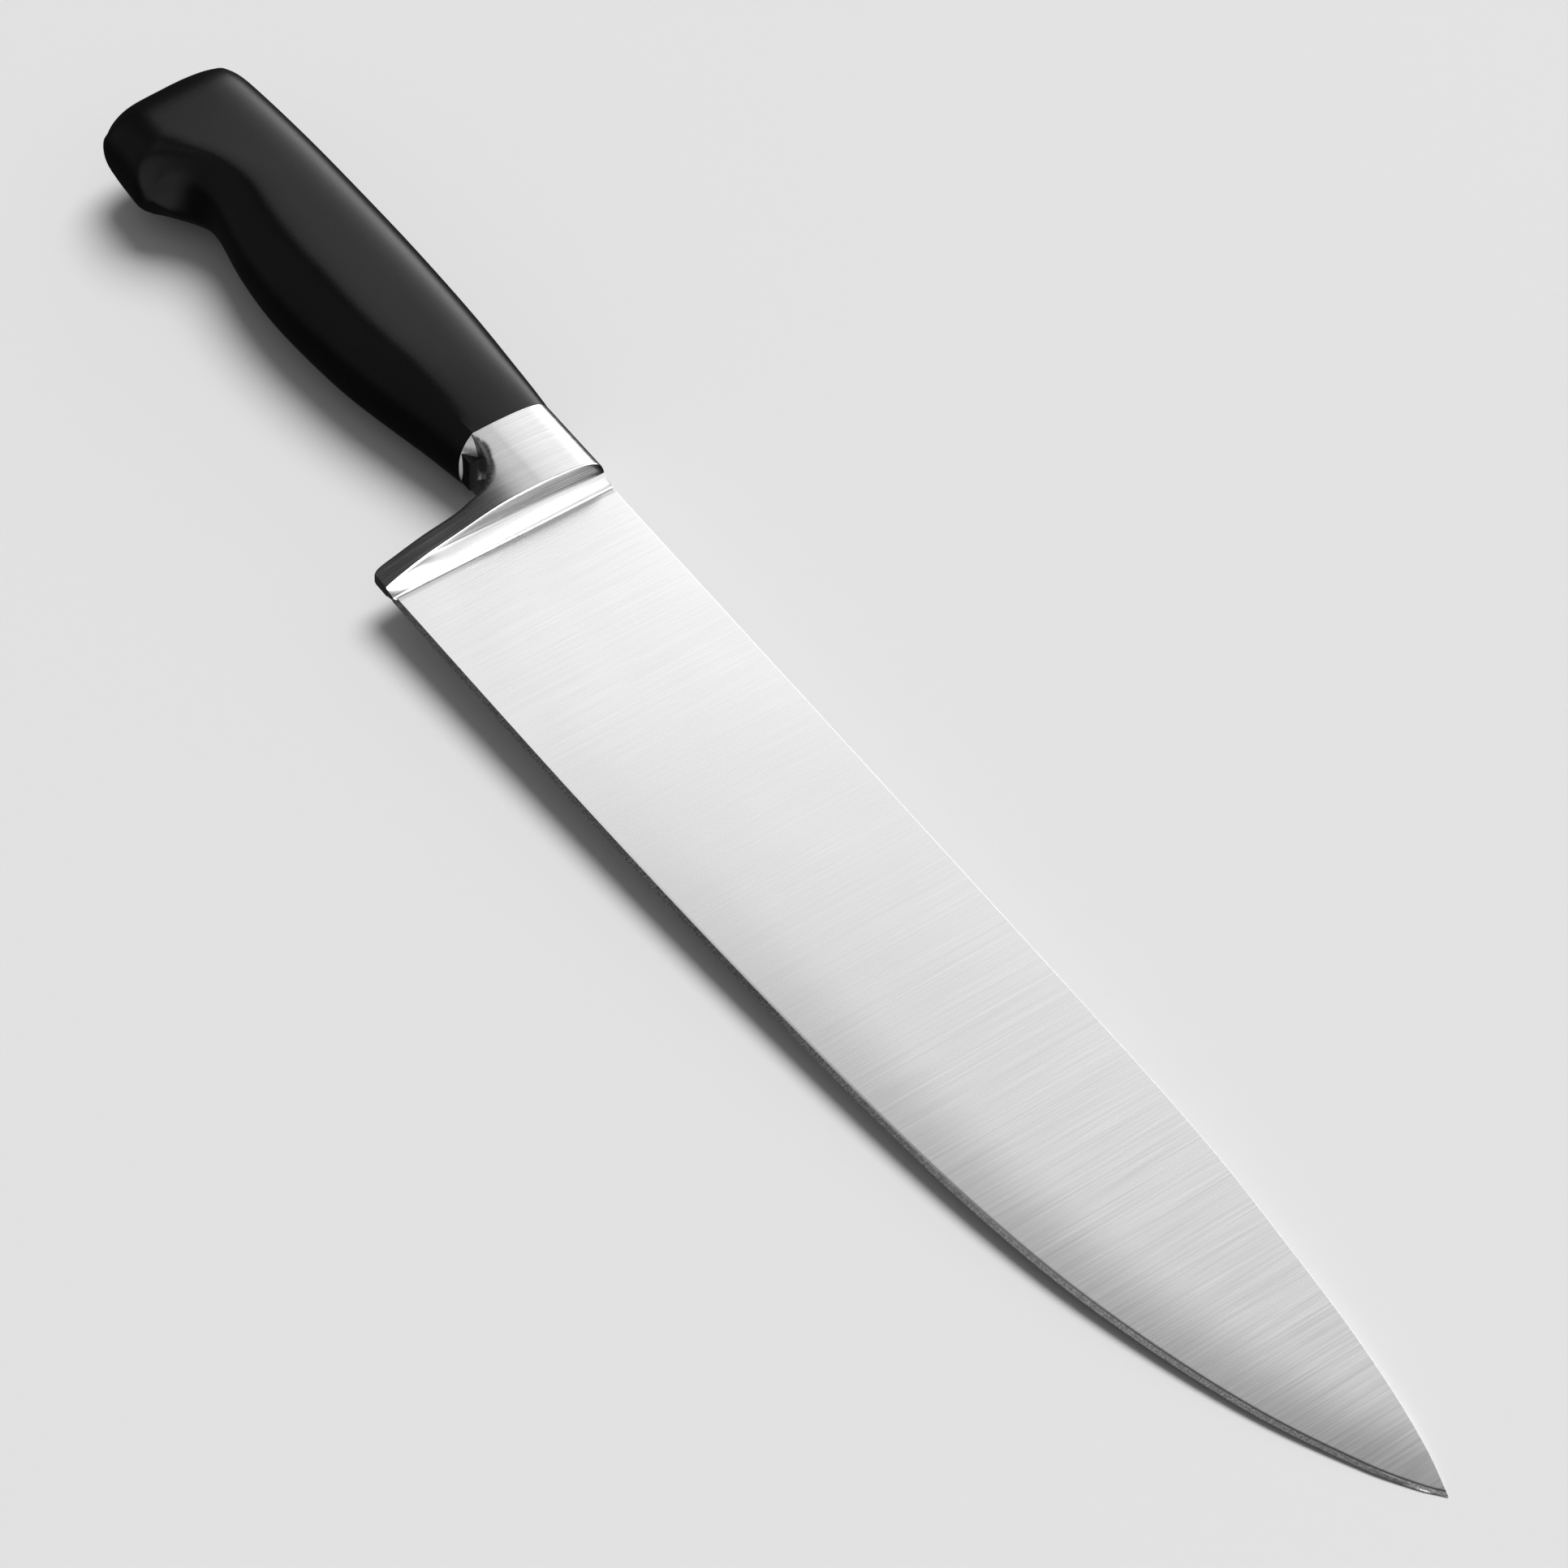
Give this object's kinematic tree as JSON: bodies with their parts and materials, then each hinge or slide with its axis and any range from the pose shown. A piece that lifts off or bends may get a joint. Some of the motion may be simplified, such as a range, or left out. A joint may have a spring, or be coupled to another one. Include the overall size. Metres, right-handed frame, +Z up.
{
  "type": "chef's knife",
  "caption": "Forged chef's knife with a broad tapering blade, full bolster and finger guard, and a moulded black handle that hooks at the butt, for slicing and chopping.",
  "frame": {"origin": "centre of the footprint, on the table plane under the knife as it lies on its left side", "axes": "+X towards the blade's tip, +Y from the cutting edge towards the spine, +Z up, out of the right face of the blade"},
  "size_m": [0.3978, 0.0516, 0.0234],
  "materials": {
    "blade_steel": "satin, ground across the blade",
    "handle_polymer": "matte black, finely grained",
    "tang_adhesive": "cured, dull, inside the handle"
  },
  "bodies": {
    "root": {"blade_bolster_tang": "blade_steel", "handle_shell_right": "handle_polymer", "handle_shell_left": "handle_polymer", "tang_adhesive_sleeve": "tang_adhesive"}
  },
  "joints": []
}
